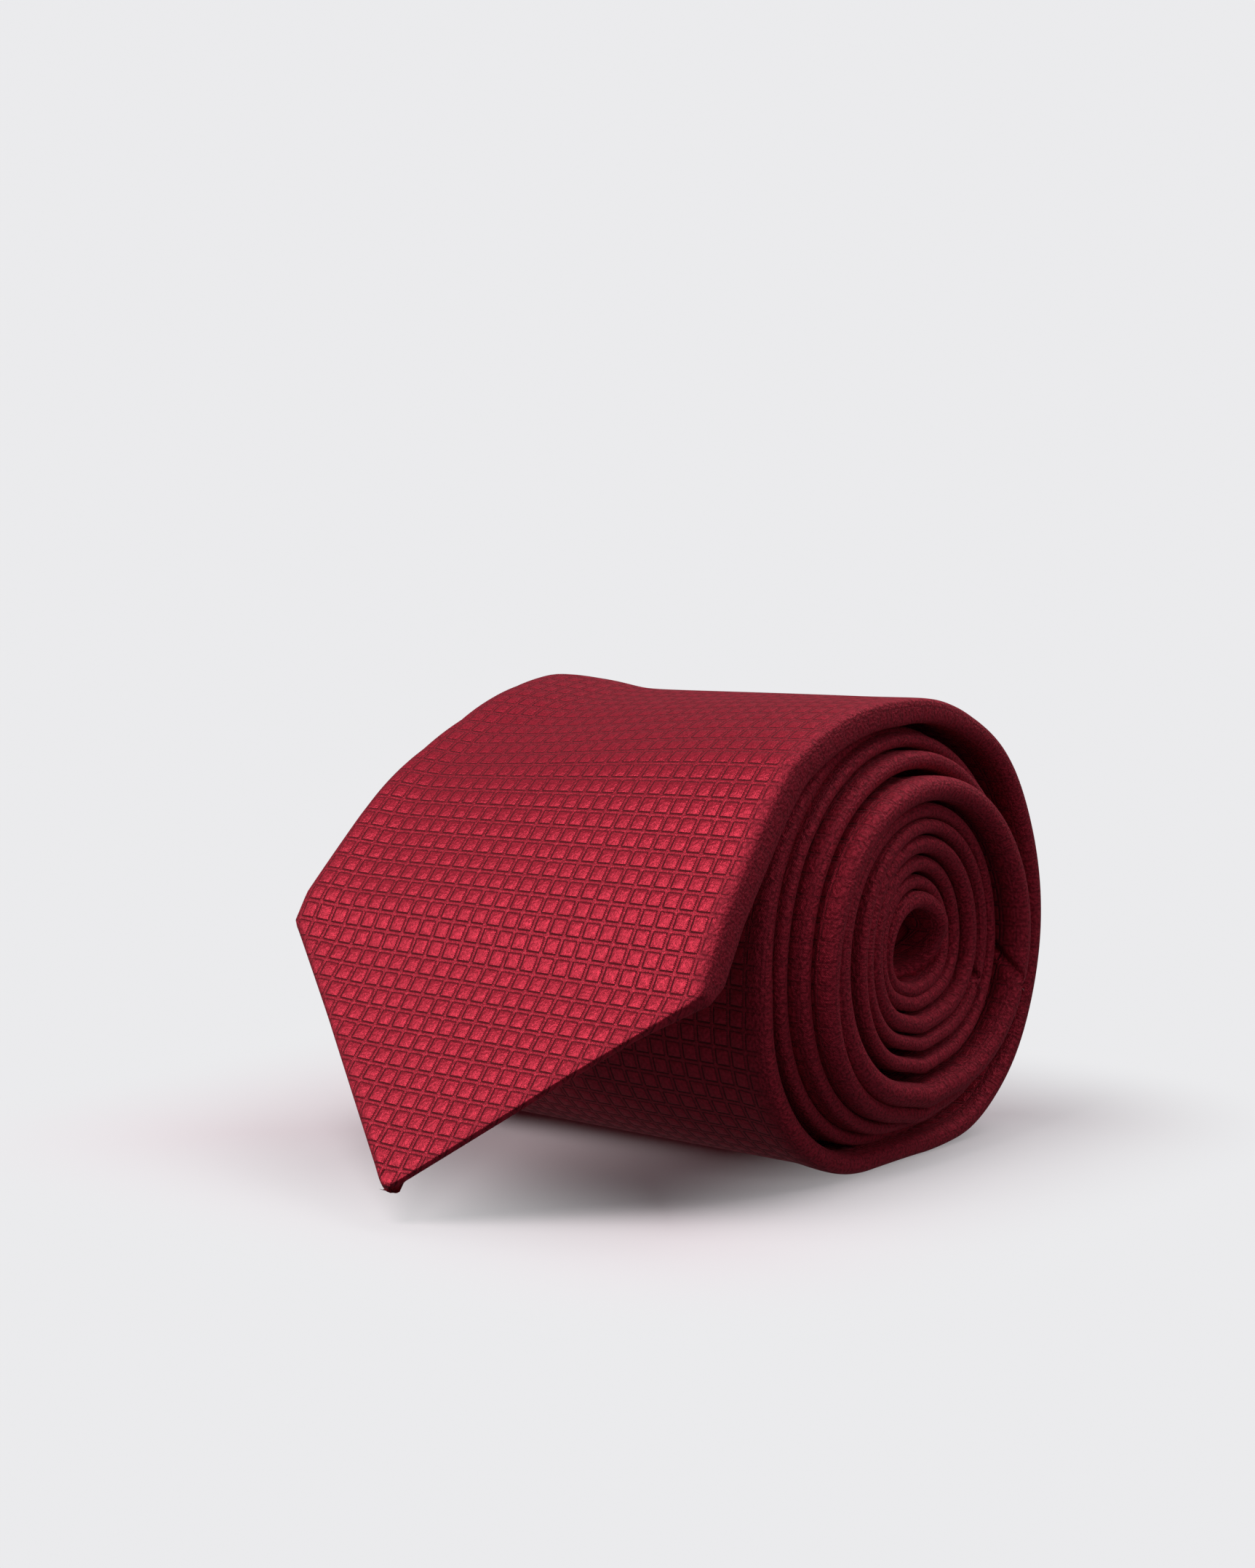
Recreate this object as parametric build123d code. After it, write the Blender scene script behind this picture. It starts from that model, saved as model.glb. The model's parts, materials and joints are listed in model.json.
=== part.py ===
"""A rolled necktie: a lined, folded strip wound ten turns from its narrow tail, with the wide blade end hanging free.

The roll's axis runs along X. Every turn has its edge on the same plane at +X, so the turns that are narrower are
recessed at -X. The blade end leaves the top of the roll towards -Y and hangs down in front of it.

The strip follows a path made of tangent arcs. A half turn over the top is one arc. A half turn under the roll is
a quarter arc, the flat that the roll rests on, and another quarter arc. All arcs of one kind share a centre, so
every layer of the strip is an exact offset of the path: d is the distance from its middle, positive outwards.
An arc is written (y, z, radius, from, to), in degrees. Where one doesn't start at the end of the one before, a
straight run joins them, and an arc from an angle to the same angle only marks the end of a straight run.
"""

from build123d import *
import math
import os

os.makedirs("parts", exist_ok=True)

# ---- the strip, flat ----
BLADE_WIDTH = 80.0
NECK_WIDTH = 37.0
TAIL_WIDTH = 44.0
BLADE_POINT = 39.0  # length of the blade's pointed end
SHELL = 0.45  # the woven shell cloth
WOOL = 1.5  # the interlining
EASE = 0.05  # room between the interlining and the shell
THICK = 2 * SHELL + 2 * EASE + WOOL

# ---- the roll ----
PITCH = 2.88  # from one turn to the next
LAST = 9  # the turns are numbered 0 to LAST at the front
CORE = 9.18  # from the roll's centre to turn 0 at the front
SAG = 3.2  # half the flat under each turn
FOOT_FRONT = -8.0  # where the flat under the last turn starts, so that the roll's weight is over it
LOOSE = 3.0  # the last turn stands off the turn inside it by this much at the back
LOOSE_TOP = 0.8  # and by this much on top
EDGE = BLADE_WIDTH / 2  # the plane of the aligned edges, at +X

# ---- the free blade end ----
DROOP_RADIUS = 48.75
DROOP = 50.0  # degrees that the blade end turns down through
DROP = 25.6  # straight run from the bend to the blade's shoulders
SPLIT = 0.3  # gap at the hinge line
WIDTH_ALONG = (  # distance from the blade's tip, width of the strip
    (170.0, BLADE_WIDTH),
    (260.0, 77.0),
    (800.0, NECK_WIDTH),
    (1010.0, NECK_WIDTH),
    (1440.0, TAIL_WIDTH),
)

# ---- sewing ----
THREAD = 0.3
THREAD_WIDTH = 0.4
SEAM = 0.25  # thickness of a line of stitches inside a seam
SEAM_REACH = 0.7  # how much of the half turn that it crosses a slanting seam covers
TIPPING_APEX = 3.0  # from the bend to the top of the blade's lining
TIPPING_WIDE = 30.0  # from the bend to the lining's widest place
TIPPING_HALF = 33.0
TIPPING_END = 7.5  # from the blade's tip to the lining
TACK = (5.0, 1.4, 0.4)  # a bar tack: across, along, thick
TAIL_MARGIN = 4.0  # shell folded round the tail's lining
KEEPER_HALF = 24.0  # half the length of the keeper loop, across the blade
KEEPER_FROM, KEEPER_TO = 309.0, 327.0  # degrees round the last turn's rear quarter arc
KEEPER_LIFT = 0.8  # slack between the keeper loop and the blade
KEEPER_THICK = 0.6
KEEPER_LEG = 3.0
KEEPER_STITCH = 1.4  # width of the stitches on each leg
KEEPER_HEM = 1.0  # degrees of loop left above and below the stitches

FAR = 60.0  # more than the roll's radius
TINY = 1e-6
TOP = THICK / 2
PARTS = {}


def front(k):
    """Distance from the roll's centre to turn k at the front."""
    return CORE + k * PITCH


def rear(k):
    return front(k) + PITCH / 2


def under(k):
    """Distance from the roll's centre down to turn k."""
    return (front(k) + rear(k)) / 2 - SAG


def over_arc(k):
    """The half turn from the rear of turn k over the top to the front of turn k + 1."""
    return [(-PITCH / 4, 0.0, (rear(k) + front(k + 1)) / 2, 0.0, 180.0)]


def under_arcs(k):
    """The half turn from the front of turn k under the roll to its rear."""
    r = under(k)
    return [(PITCH / 4 - SAG, 0.0, r, 180.0, 270.0), (PITCH / 4 + SAG, 0.0, r, 270.0, 360.0)]


def last_under_arcs():
    """The last turn under the roll, with a wider foot and set back by LOOSE at the rear."""
    r = front(LAST) + FOOT_FRONT
    return [(FOOT_FRONT, 0.0, r, 180.0, 180.0), (FOOT_FRONT, r - under(LAST), r, 180.0, 270.0),
            (PITCH / 4 + SAG + LOOSE, 0.0, under(LAST), 270.0, 360.0)]


TOP_RADIUS = (rear(LAST) + front(LAST + 1)) / 2 + LOOSE_TOP
HINGE_Y = rear(LAST) + LOOSE - TOP_RADIUS
LIFT = under(LAST) + TOP  # the roll's centre above the surface that it rests on


def point_on(arc, angle):
    y, z, r = arc[:3]
    return Vector(0, y + r * math.cos(math.radians(angle)), z + r * math.sin(math.radians(angle)))


def path_length(arcs):
    total = 0.0
    end = None
    for arc in arcs:
        start = point_on(arc, arc[3])
        if end is not None:
            total += (start - end).length
        total += arc[2] * math.radians(arc[4] - arc[3])
        end = point_on(arc, arc[4])
    return total


class Stretch:
    """A stretch of the strip: its arcs, and the distance from the blade's tip to each of its ends."""

    def __init__(self, arcs, begin):
        self.arcs = arcs
        self.begin = begin
        self.end = begin + path_length(arcs)
        self.outer = point_on(arcs[-1], arcs[-1][4])
        self.inner = point_on(arcs[0], arcs[0][3])


def chain(arcs, d):
    """The edges of the path at distance d, in the plane of Y and Z."""
    edges = []
    end = None
    for y, z, r, a0, a1 in arcs:
        start = Vector(y, z) + Vector(r + d, 0).rotate(Axis.Z, a0)
        if end is not None and (start - end).length > TINY:
            edges.append(Line(end, start))
        if a1 > a0:
            edges.append(CenterArc((y, z), r + d, a0, a1 - a0))
        end = Vector(y, z) + Vector(r + d, 0).rotate(Axis.Z, a1)
    return edges


def layer(arcs, d0, d1):
    """The strip's layer from d0 to d1 over some arcs, across the whole width of the roll."""
    low = chain(arcs, d0)
    high = chain(arcs, d1)
    caps = [Line(low[0] @ 0, high[0] @ 0), Line(low[-1] @ 1, high[-1] @ 1)]
    return Pos(-FAR, 0, 0) * extrude(Plane.YZ * make_face(low + high + caps), amount=2 * FAR, dir=(1, 0, 0))


def trimmed(body, stretch, x_outer, x_inner, side):
    """Cuts away what lies beyond a straight edge that runs from x_outer to x_inner along the stretch."""
    widest = side * max(side * x_outer, side * x_inner)
    body = body - Pos(widest + side * 2 * FAR, 0, 0) * Box(4 * FAR, 4 * FAR, 4 * FAR)
    if x_outer == x_inner:
        return body
    chord = stretch.inner - stretch.outer
    along = chord.normalized()
    slope = (x_inner - x_outer) / chord.length
    plane = Plane(origin=stretch.outer, x_dir=along, z_dir=along.cross(Vector(1, 0, 0)))
    start = x_outer - slope * FAR
    finish = x_inner + slope * FAR
    beyond = side * 4 * FAR
    wedge = Polyline((-FAR, start), (chord.length + FAR, finish), (chord.length + FAR, beyond), (-FAR, beyond),
                     close=True)
    return body - extrude(plane * make_face(wedge.edges()), amount=2 * FAR, both=True)


def strip(stretch, d0, d1, low, high):
    """The layer from d0 to d1 between two edges, given as functions of the distance from the blade's tip."""
    body = layer(stretch.arcs, d0, d1)
    body = trimmed(body, stretch, low(stretch.begin), low(stretch.end), -1)
    return trimmed(body, stretch, high(stretch.begin), high(stretch.end), 1)


def between(table, s):
    """Reads a table of (distance, value) rows with straight lines between them, level beyond its ends."""
    if s <= table[0][0]:
        return table[0][1]
    for (s0, v0), (s1, v1) in zip(table, table[1:]):
        if s <= s1:
            return v0 + (v1 - v0) * (s - s0) / (s1 - s0)
    return table[-1][1]


def width(s):
    return between(WIDTH_ALONG, s)


def low_edge(inset):
    return lambda s: EDGE - width(s) + inset


def high_edge(inset):
    return lambda s: EDGE - inset


def beside_middle(away):
    return lambda s: EDGE - width(s) / 2 + away


def tube(stretch):
    """The shell round a stretch: front, back and both folded edges, open at the ends."""
    whole = strip(stretch, -TOP, TOP, low_edge(0), high_edge(0))
    return whole - strip(stretch, SHELL - TOP, TOP - SHELL, low_edge(SHELL), high_edge(SHELL))


def filling(stretch):
    half = WOOL / 2
    return strip(stretch, -half, half, low_edge(SHELL + EASE), high_edge(SHELL + EASE))


def back_thread(stretch):
    """The slip stitch that closes the back, along the middle of the strip."""
    half = THREAD_WIDTH / 2
    return strip(stretch, -TOP - THREAD, -TOP, beside_middle(-half), beside_middle(half))


def fused(bodies):
    whole = bodies[0]
    for body in bodies[1:]:
        whole = whole + body
    return whole


def add(name, body):
    PARTS[name] = body


# ---- the path, from the blade's tip inwards ----
BEND = [(HINGE_Y, TOP_RADIUS - DROOP_RADIUS, DROOP_RADIUS, 90.0 + math.degrees(SPLIT / DROOP_RADIUS), 90.0 + DROOP)]
bend = Stretch(BEND, DROP + BLADE_POINT)
stretches = [Stretch([(HINGE_Y, 0.0, TOP_RADIUS, 0.0, 90.0)], bend.end + SPLIT)]
stretches.append(Stretch(last_under_arcs(), stretches[-1].end))
for k in range(LAST - 1, -1, -1):
    stretches.append(Stretch(over_arc(k), stretches[-1].end))
    stretches.append(Stretch(under_arcs(k), stretches[-1].end))
last_half = Stretch(over_arc(-1), stretches[-1].end)
BLADE_SEAM = 9  # the stretch with the seam from blade to neck, under turn 5
NECK_SEAM = 13  # the stretch with the seam from neck to tail, under turn 3


# ---- the tail's point, curled into the core ----
def tail_point():
    """The point is three stretches: a quarter arc, the short flat and a quarter arc, narrowing evenly."""
    first, second = under_arcs(-1)
    flat = [(y, z, r, 270.0, 270.0) for y, z, r, a0, a1 in (first, second)]
    rear_quarter = Stretch([second], last_half.end)
    middle = Stretch(flat, rear_quarter.end)
    return rear_quarter, middle, Stretch([first], middle.end)


point = tail_point()
TAIL_MIDDLE = EDGE - TAIL_WIDTH / 2
POINT_LENGTH = point[2].end - point[0].begin


def tail_half(s):
    """Half the strip's width along the tail's point."""
    return TAIL_WIDTH / 2 * (point[2].end - s) / POINT_LENGTH


def point_strip(d0, d1, inset):
    bodies = []
    for stretch in point:
        half = [tail_half(s) - inset for s in (stretch.begin, stretch.end)]
        if half[0] <= 0:
            continue
        body = layer(stretch.arcs, d0, d1) & (Pos(TAIL_MIDDLE, 0, 0) * Box(2 * half[0], 2 * FAR, 2 * FAR))
        body = trimmed(body, stretch, TAIL_MIDDLE - half[0], TAIL_MIDDLE - half[1], -1)
        bodies.append(trimmed(body, stretch, TAIL_MIDDLE + half[0], TAIL_MIDDLE + half[1], 1))
    return fused(bodies)


# ---- the blade's flat end, drawn in its own plane ----
bend_end = bend.outer
down = math.radians(90.0 + DROOP)
blade_plane = Plane(origin=bend_end, x_dir=(1, 0, 0), z_dir=(0, math.cos(down), math.sin(down)))


def blade_outline(inset):
    half = BLADE_WIDTH / 2
    rise = BLADE_POINT / half
    tip = -DROP - BLADE_POINT + inset * math.hypot(1, rise)
    shoulder = tip + (half - inset) * rise
    return [(inset - half, 0), (half - inset, 0), (half - inset, shoulder), (0, tip), (inset - half, shoulder)]


def plate(points, d0, d1):
    face = make_face(Polyline(*points, close=True).edges())
    return extrude(blade_plane.offset(d0) * face, amount=d1 - d0, dir=blade_plane.z_dir)


def tipping_outline():
    tip = TIPPING_END - DROP - BLADE_POINT
    return [(0, -TIPPING_APEX), (TIPPING_HALF, -TIPPING_WIDE), (0, tip), (-TIPPING_HALF, -TIPPING_WIDE)]


def tipping_plate(inset):
    face = make_face(Polyline(*tipping_outline(), close=True).edges())
    if inset:
        face = offset(face, amount=-inset, kind=Kind.INTERSECTION)
    return extrude(blade_plane.offset(-TOP) * face, amount=SHELL, dir=blade_plane.z_dir)


# ---- the free blade end ----
def make_blade_end():
    shell = plate(blade_outline(0), -TOP, TOP) - plate(blade_outline(SHELL), SHELL - TOP, TOP - SHELL)
    shell = tube(bend) + (shell - tipping_plate(0))
    half = WOOL / 2
    wool = filling(bend) + plate(blade_outline(SHELL + EASE), -half, half)
    across, along, thick = TACK
    tack = blade_plane * Pos(0, -along / 2, -TOP - thick / 2) * Box(across, along, thick)
    add("blade_end_shell", shell)
    add("blade_end_interlining", wool)
    add("blade_tipping", tipping_plate(SEAM))
    add("blade_tipping_seam", tipping_plate(0) - tipping_plate(SEAM))
    add("blade_bar_tack", tack)
    add("blade_end_slip_stitch", back_thread(bend))


# ---- the shell of the roll, in three pieces joined by slanting seams ----
def seam_cut(stretch):
    """Splits one stretch of shell along a slanting seam: the side nearer the blade, the stitches, the far side."""
    reach = SEAM_REACH * stretch.outer.Y
    low = EDGE - width((stretch.begin + stretch.end) / 2)
    across = Vector(low - EDGE, -2 * reach, 0).normalized()
    normal = across.cross(Vector(0, 0, 1))
    if normal.Y < 0:
        normal = -normal
    plane = Plane(origin=((EDGE + low) / 2, 0, 0), x_dir=across, z_dir=normal)
    shell = tube(stretch)
    size = 4 * FAR
    gap = SEAM / 2
    near = shell & (plane * Pos(0, 0, size / 2 + gap) * Box(size, size, size))
    stitches = shell & (plane * Box(size, size, SEAM))
    far = shell & (plane * Pos(0, 0, -size / 2 - gap) * Box(size, size, size))
    return near, stitches, far


def tail_lining():
    """The tail's lining on its inner face: it widens over the last half turn and narrows along the point."""
    widest = TAIL_WIDTH / 2 - TAIL_MARGIN
    table = ((last_half.begin, 0.0), (last_half.end, widest))

    def low(s):
        return TAIL_MIDDLE - between(table, s)

    def high(s):
        return TAIL_MIDDLE + between(table, s)

    return strip(last_half, -TOP, SHELL - TOP, low, high) + point_strip(-TOP, SHELL - TOP, TAIL_MARGIN)


def make_roll_shell():
    blade = [tube(s) for s in stretches[:BLADE_SEAM]]
    neck = [tube(s) for s in stretches[BLADE_SEAM + 1:NECK_SEAM]]
    tail = [tube(s) for s in stretches[NECK_SEAM + 1:] + [last_half]]
    near, stitches, far = seam_cut(stretches[BLADE_SEAM])
    add("blade_shell", fused(blade + [near]))
    add("blade_neck_seam", stitches)
    neck.insert(0, far)
    near, stitches, far = seam_cut(stretches[NECK_SEAM])
    add("neck_shell", fused(neck + [near]))
    add("neck_tail_seam", stitches)
    tail_end = point_strip(-TOP, TOP, 0) - point_strip(SHELL - TOP, TOP - SHELL, SHELL)
    lining = tail_lining()
    add("tail_shell", fused([far] + tail + [tail_end]) - lining)
    add("tail_tipping", lining)


def make_roll_filling():
    half = WOOL / 2
    wool = [filling(s) for s in stretches + [last_half]]
    wool.append(point_strip(-half, half, SHELL + EASE))
    add("interlining", fused(wool))


# ---- the sewing and the keeper loop on the back of the roll's strip ----
def make_sewing():
    add("slip_stitch", fused([back_thread(s) for s in stretches]))
    across, along, thick = TACK
    y, z, r, a0, a1 = last_half.arcs[0]
    turn = math.degrees(along / r)
    body = layer([(y, z, r, a1 - turn, a1)], -TOP - thick, -TOP)
    add("tail_bar_tack", body & (Pos(TAIL_MIDDLE, 0, 0) * Box(across, 2 * FAR, 2 * FAR)))


def across_blade(middle, half):
    """A block that keeps what lies within half of middle, across the strip."""
    return Pos(middle, 0, 0) * Box(2 * half, 2 * FAR, 2 * FAR)


def make_keeper():
    y, z, r = last_under_arcs()[-1][:3]
    middle = EDGE - width(stretches[0].end) / 2
    inner = -TOP - KEEPER_LIFT
    face = inner - KEEPER_THICK
    arcs = [(y, z, r, KEEPER_FROM, KEEPER_TO)]
    whole = layer(arcs, face, -TOP) & across_blade(middle, KEEPER_HALF + KEEPER_LEG)
    add("keeper_loop", whole - (layer(arcs, inner, -TOP) & across_blade(middle, KEEPER_HALF)))
    thread = layer([(y, z, r, KEEPER_FROM + KEEPER_HEM, KEEPER_TO - KEEPER_HEM)], face - THREAD, face)
    stitches = []
    for side in (-1, 1):
        x = middle + side * (KEEPER_HALF + KEEPER_LEG / 2)
        stitches += (thread & across_blade(x, KEEPER_STITCH / 2)).solids()
    add("keeper_stitches", Compound(children=stitches))


make_blade_end()
make_roll_shell()
make_roll_filling()
make_sewing()
make_keeper()

boxes = [body.bounding_box() for body in PARTS.values()]
middle_y = (min(b.min.Y for b in boxes) + max(b.max.Y for b in boxes)) / 2
place = Pos(0, -middle_y, LIFT)
for name, body in PARTS.items():
    export_step(place * body, f"parts/{name}.step")

print("strip length", round(point[2].end, 1))
print("roll centre", round(-middle_y, 3), round(LIFT, 3))
print("hinge line y, z", round(HINGE_Y - middle_y, 3), round(TOP_RADIUS + TOP + LIFT, 3))
print("foot from y", round(FOOT_FRONT - middle_y, 3), "to", round(PITCH / 4 + SAG + LOOSE - middle_y, 3))
print("widths at the stretches", [round(width(s.begin), 1) for s in stretches])
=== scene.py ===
import json
import math

import bpy
import numpy as np
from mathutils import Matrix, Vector


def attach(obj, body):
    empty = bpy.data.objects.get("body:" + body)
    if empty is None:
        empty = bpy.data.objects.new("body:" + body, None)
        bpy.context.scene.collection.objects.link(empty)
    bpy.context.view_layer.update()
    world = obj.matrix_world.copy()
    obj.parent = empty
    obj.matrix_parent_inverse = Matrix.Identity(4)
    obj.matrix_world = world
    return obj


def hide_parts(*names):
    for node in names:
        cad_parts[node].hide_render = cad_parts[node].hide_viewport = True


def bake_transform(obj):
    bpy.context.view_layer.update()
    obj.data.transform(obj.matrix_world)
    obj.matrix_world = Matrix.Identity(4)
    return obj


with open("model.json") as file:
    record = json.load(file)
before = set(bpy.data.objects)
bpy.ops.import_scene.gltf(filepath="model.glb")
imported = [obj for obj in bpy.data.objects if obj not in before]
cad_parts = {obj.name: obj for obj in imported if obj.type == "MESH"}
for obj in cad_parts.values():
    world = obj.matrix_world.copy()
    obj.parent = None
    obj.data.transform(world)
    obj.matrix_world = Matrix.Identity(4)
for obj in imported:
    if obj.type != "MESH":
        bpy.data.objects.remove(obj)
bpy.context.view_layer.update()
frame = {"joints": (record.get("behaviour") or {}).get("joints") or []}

MM = 0.001

# ---- the strip, in millimetres, as in the part's source ----
BLADE_WIDTH = 80.0
NECK_WIDTH = 37.0
TAIL_WIDTH = 44.0
PITCH = 2.88  # from one turn to the next
LAST = 9  # the turns are numbered 0 to LAST at the front
CORE = 9.18  # from the roll's centre to turn 0 at the front
SAG = 3.2  # how far the roll is flattened underneath
FOOT_FRONT = -8.0  # y of the foot's front end, from the roll's centre
LOOSE = 3.0  # how far the last half turn stands off at the rear
LOOSE_TOP = 0.8  # and how far over the top
EDGE = BLADE_WIDTH / 2
DROOP_RADIUS = 48.75  # of the bend from the roll to the free end
DROOP = 50.0  # degrees that it bends
DROP = 25.6  # straight length between that bend and the point
POINT = 39.0
THICK = 2.5
BACK = -THICK / 2  # from the strip's middle to its back
SHELL = 0.45  # thickness of the shell cloth
TAIL_POINT = 22.0  # length of the tail's pointed end
BLADE_OPENING = 61.6  # from the blade's tip to where its back layers part
TAIL_GAP = 34.0  # length of the opening behind the tail's point
WIDTH_ALONG = (  # (distance from the blade's tip, width)
    (170.0, BLADE_WIDTH),
    (260.0, 77.0),
    (800.0, NECK_WIDTH),
    (1010.0, NECK_WIDTH),
    (1440.0, TAIL_WIDTH),
)

# ---- the cloth as it lies, in millimetres ----
CELL = 3.11  # one square of the weave
TURN_SAMPLES = 15.0  # length of strip over which the turns' differences blend

# How each turn of the roll lies, from the innermost: how far it is off the even spiral at the front, under
# the roll, at the rear and over it, how far it stands out at +X at the front and at the rear, and how thick
# its fold is. All were chosen one by one.
TURNS = (
    # front, under, rear, over, out at the front, out at the rear, thick
    (0.0, 0.0, 0.9, -0.2, 2.0, 2.5, 2.9),
    (-1.7, -1.5, -0.4, 0.0, 2.0, 0.3, 2.3),
    (-2.1, -2.3, -0.5, 0.0, 2.6, 0.6, 2.5),
    (-2.1, -1.9, -0.3, 0.1, 3.7, 2.0, 2.9),
    (-1.9, -1.8, 0.0, 0.0, 4.0, 2.0, 2.3),
    (-1.7, -1.2, 0.4, -0.65, 5.0, 1.6, 2.4),
    (-0.5, 0.6, 3.2, -0.25, 4.3, 5.2, 3.9),
    (0.0, 0.9, 3.1, 1.3, 4.8, 0.5, 2.9),
    (0.0, 0.4, 2.6, 1.5, 1.8, -2.5, 2.4),
    (0.0, -0.4, 2.2, -0.7, -0.4, -7.0, 2.4),
    (0.0, -0.55, 1.2, 0.2, -1.3, -0.3, 3.4),
)
OUTER_SWELLS = (  # on the outer turn: (degrees behind the hinge line, height, spread along the strip)
    (45, 0.8, 10.0),
    (135, 1.2, 12.0),
    (156, 0.8, 7.0),
)
FLAT_FEET = 3  # the outer turns whose undersides stay flat
FOOT_ROUND, FOOT_SPREAD = 0.9, 3.4  # of the bulge in the middle of the other turns' flats

# How far the free end and the top stand off the path, at the strip's -X edge and at its +X edge, as
# (s, distance), where s is the distance from the blade's tip.
LIE_LOW = (
    (25, 0.0), (38, 0.8), (45, 1.8), (61, 0.1), (78, -2.4), (88, -2.9), (102, -1.7), (110, -0.4), (150, 0.0),
)
LIE_HIGH = (
    (22, 0.0), (37, -0.6), (51, 2.0), (65, 2.9), (76, 3.8), (86, 2.8), (103, 0.9), (125, 0.0),
)
HUMP_X, HUMP_SPREAD, HUMP_HEIGHT = -31.0, 9.0, 1.7  # on the top near -X

FLARE = 2.2  # how far the blade spreads at its -X shoulder
TIP_X = 1.6  # x of the blade's tip
LOW_SHOULDER, HIGH_SHOULDER = 40.6, 38.6  # from the tip to the shoulders at -X and at +X


# ---- the path of the strip's middle ----
def front(k):
    return CORE + k * PITCH


def rear(k):
    return front(k) + PITCH / 2


def under(k):
    return (front(k) + rear(k)) / 2 - SAG


TOP_RADIUS = (rear(LAST) + front(LAST + 1)) / 2 + LOOSE_TOP
HINGE_Y = rear(LAST) + LOOSE - TOP_RADIUS
hinge = Vector(frame["joints"][0]["pos_m"]) / MM
ROLL_Y = hinge.y - HINGE_Y
ROLL_Z = hinge.z - TOP_RADIUS - THICK / 2


def polar(y, z, r, angle):
    a = math.radians(angle)
    return np.array([y + r * math.cos(a), z + r * math.sin(a)])


def spiral_arcs():
    """The path's arcs, outwards from the tail's tip: centre y, centre z, radius, from and to in degrees."""
    arcs = []
    for k in range(-1, LAST):
        r = under(k)
        arcs.append((PITCH / 4 - SAG, 0.0, r, 180.0, 270.0))
        arcs.append((PITCH / 4 + SAG, 0.0, r, 270.0, 360.0))
        arcs.append((-PITCH / 4, 0.0, (rear(k) + front(k + 1)) / 2, 0.0, 180.0))
    r = front(LAST) + FOOT_FRONT
    arcs.append((FOOT_FRONT, 0.0, r, 180.0, 180.0))
    arcs.append((FOOT_FRONT, r - under(LAST), r, 180.0, 270.0))
    arcs.append((PITCH / 4 + SAG + LOOSE, 0.0, under(LAST), 270.0, 360.0))
    arcs.append((HINGE_Y, 0.0, TOP_RADIUS, 0.0, 90.0))
    arcs.append((HINGE_Y, TOP_RADIUS - DROOP_RADIUS, DROOP_RADIUS, 90.0, 90.0 + DROOP))
    return arcs


class Route:
    """The middle of the strip, as a fine table of places against s, the distance from the blade's tip.

    marks lists (s, angle) wherever the path points straight to the front, down, to the rear or up, from the
    innermost turn outwards.
    """

    STEP = 0.25

    def __init__(self):
        places, angles, marks = [], [], {}
        for y, z, r, a0, a1 in spiral_arcs():
            start = polar(y, z, r, a0)
            if places and np.linalg.norm(start - places[-1]) > 1e-6:
                self.straight(places, angles, start, a0)
            count = max(1, int(r * math.radians(a1 - a0) / self.STEP))
            for i in range(1 if places else 0, count + 1):
                angle = a0 + (a1 - a0) * i / count
                places.append(polar(y, z, r, angle))
                angles.append(angle)
            if a1 % 90 == 0:
                for angle in range(int(a0), int(a1) + 1, 90):
                    back = count * (a1 - angle) / max(a1 - a0, 1)
                    marks[len(places) - 1 - round(back)] = angle % 360
        tip = places[-1] + (DROP + POINT) * polar(0, 0, 1, 180.0 + DROOP)
        self.straight(places, angles, tip, 90.0 + DROOP)
        places = np.array(places)
        outward = np.concatenate([[0], np.cumsum(np.linalg.norm(np.diff(places, axis=0), axis=1))])
        self.length = outward[-1]
        self.s = self.length - outward[::-1]
        self.places = places[::-1]
        self.angles = np.unwrap(np.radians(angles))[::-1]
        self.marks = [(self.length - outward[i], marks[i]) for i in sorted(marks)]

    def straight(self, places, angles, end, angle):
        start = places[-1]
        count = max(1, int(np.linalg.norm(end - start) / self.STEP))
        for i in range(1, count + 1):
            places.append(start + (end - start) * i / count)
            angles.append(angle)

    def at(self, s):
        """Places y, z and the outward normal's y, z at distances s from the blade's tip."""
        y = np.interp(s, self.s, self.places[:, 0])
        z = np.interp(s, self.s, self.places[:, 1])
        a = np.interp(s, self.s, self.angles)
        return y, z, np.cos(a), np.sin(a)


route = Route()
LENGTH = route.length
S_BEND = DROP + POINT  # where the free end's straight length meets its bend
S_HINGE = S_BEND + DROOP_RADIUS * math.radians(DROOP)
TAIL_OPENING = LENGTH - TAIL_GAP

# Half the width of the openings behind the blade's and the tail's points: (s, half).
BLADE_GAP = ((7.5, 0.0), (34.6, 33.0), (BLADE_OPENING, 0.0))
TAIL_POINT_GAP = ((TAIL_OPENING, 0.0), (LENGTH - TAIL_POINT + 1.0, 16.0), (LENGTH - 4.0, 0.0))

# Stations of the free end: s, how far off the path, how far out, how thick its fold at -X is.
FREE_STATIONS = ((S_HINGE, -0.6, 0.0, 4.0), (S_BEND, 0.0, 0.0, 4.2), (0.0, 0.0, 0.0, 3.0))

# How thick the free end's fold at +X is: (s, thickness).
FREE_FOLD = ((0, 1.1), (30, 1.2), (37, 2.6), (42, 5.6), (66, 5.4), (90, 4.6), (S_HINGE, 4.0))


# ---- how the cloth lies off that path ----
def read(table, s):
    """The value at s in a table of (s, value) rows."""
    places, values = zip(*table)
    return np.interp(s, places, values)


def steps(low, high, step):
    return np.linspace(low, high, max(2, int(round((high - low) / step)) + 1))


def ramp(x, low, high):
    """0 below low, 1 above high and smooth between."""
    t = np.clip((x - low) / np.maximum(high - low, 1e-6), 0, 1)
    return t * t * (3 - 2 * t)


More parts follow.
